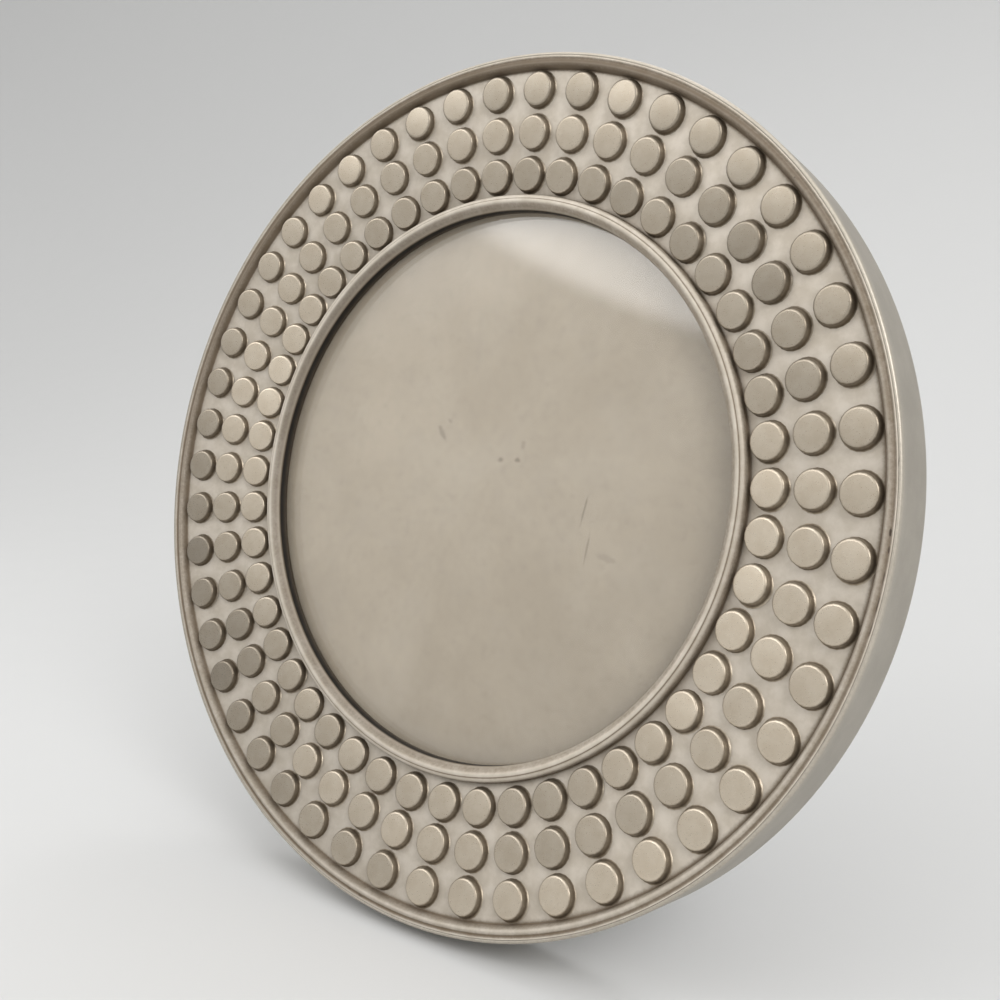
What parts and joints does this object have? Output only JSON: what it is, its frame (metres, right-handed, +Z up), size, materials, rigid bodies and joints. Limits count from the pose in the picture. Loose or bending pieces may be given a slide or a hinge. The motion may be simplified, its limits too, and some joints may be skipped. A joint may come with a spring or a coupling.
{
  "type": "photo frame",
  "caption": "Round table photo frame: a dished face with rows of flat studs in a deep rim, glazed, with a back panel held by turn buttons and a folding easel strut.",
  "frame": {"origin": "on the table, in the middle of the box that the standing frame fills", "axes": "+Z up from the table, +X to the frame's right as the viewer sees it, the face looks along -Y and leans back 12 degrees"},
  "size_m": [0.1908, 0.0546, 0.1897],
  "materials": {
    "rim_metal": "satin grey cast metal",
    "face_metal": "matte champagne with a dark antique wash in the crevices",
    "stud_metal": "satin taupe metal",
    "pane_glass": "clear float glass",
    "print_paper": "plain matte card",
    "filler_card": "raw card",
    "backing_board": "hardboard with a black flocked cover",
    "hinge_steel": "pressed plated steel",
    "rivet_steel": "plated steel",
    "screw_steel": "plated steel",
    "button_steel": "pressed plated steel"
  },
  "bodies": {
    "frame": {"rim_body": "rim_metal", "face_plate": "face_metal", "studs_outer": "stud_metal", "studs_middle": "stud_metal", "studs_inner": "stud_metal", "glass": "pane_glass", "print_card": "print_paper", "filler_board": "filler_card", "back_panel": "backing_board", "hinge_panel_leaf": "hinge_steel", "hinge_pin": "hinge_steel", "panel_rivets": "rivet_steel", "turn_button_screws": "screw_steel"},
    "strut": {"strut": "backing_board", "hinge_strut_leaf": "hinge_steel", "strut_rivets": "rivet_steel"},
    "turn_button_1": {"turn_button_1": "button_steel"},
    "turn_button_2": {"turn_button_2": "button_steel"},
    "turn_button_3": {"turn_button_3": "button_steel"},
    "turn_button_4": {"turn_button_4": "button_steel"}
  },
  "joints": [
    {"name": "strut_fold", "type": "hinge", "parent": "frame", "child": "strut", "pos_m": [0, 0.01389, 0.11233], "axis": [1, 0, 0], "range_deg": [-18, 0]},
    {"name": "turn_button_1_swing", "type": "hinge", "parent": "frame", "child": "turn_button_1", "pos_m": [-0.06304, 0.02079, 0.15486], "axis": [0, 0.9781, -0.2079], "range_deg": [-90, 90]},
    {"name": "turn_button_2_swing", "type": "hinge", "parent": "frame", "child": "turn_button_2", "pos_m": [0.06304, 0.02079, 0.15486], "axis": [0, 0.9781, -0.2079], "range_deg": [-90, 90]},
    {"name": "turn_button_3_swing", "type": "hinge", "parent": "frame", "child": "turn_button_3", "pos_m": [0.06304, -0.00543, 0.03154], "axis": [0, 0.9781, -0.2079], "range_deg": [-90, 90]},
    {"name": "turn_button_4_swing", "type": "hinge", "parent": "frame", "child": "turn_button_4", "pos_m": [-0.06304, -0.00543, 0.03154], "axis": [0, 0.9781, -0.2079], "range_deg": [-90, 90]}
  ]
}
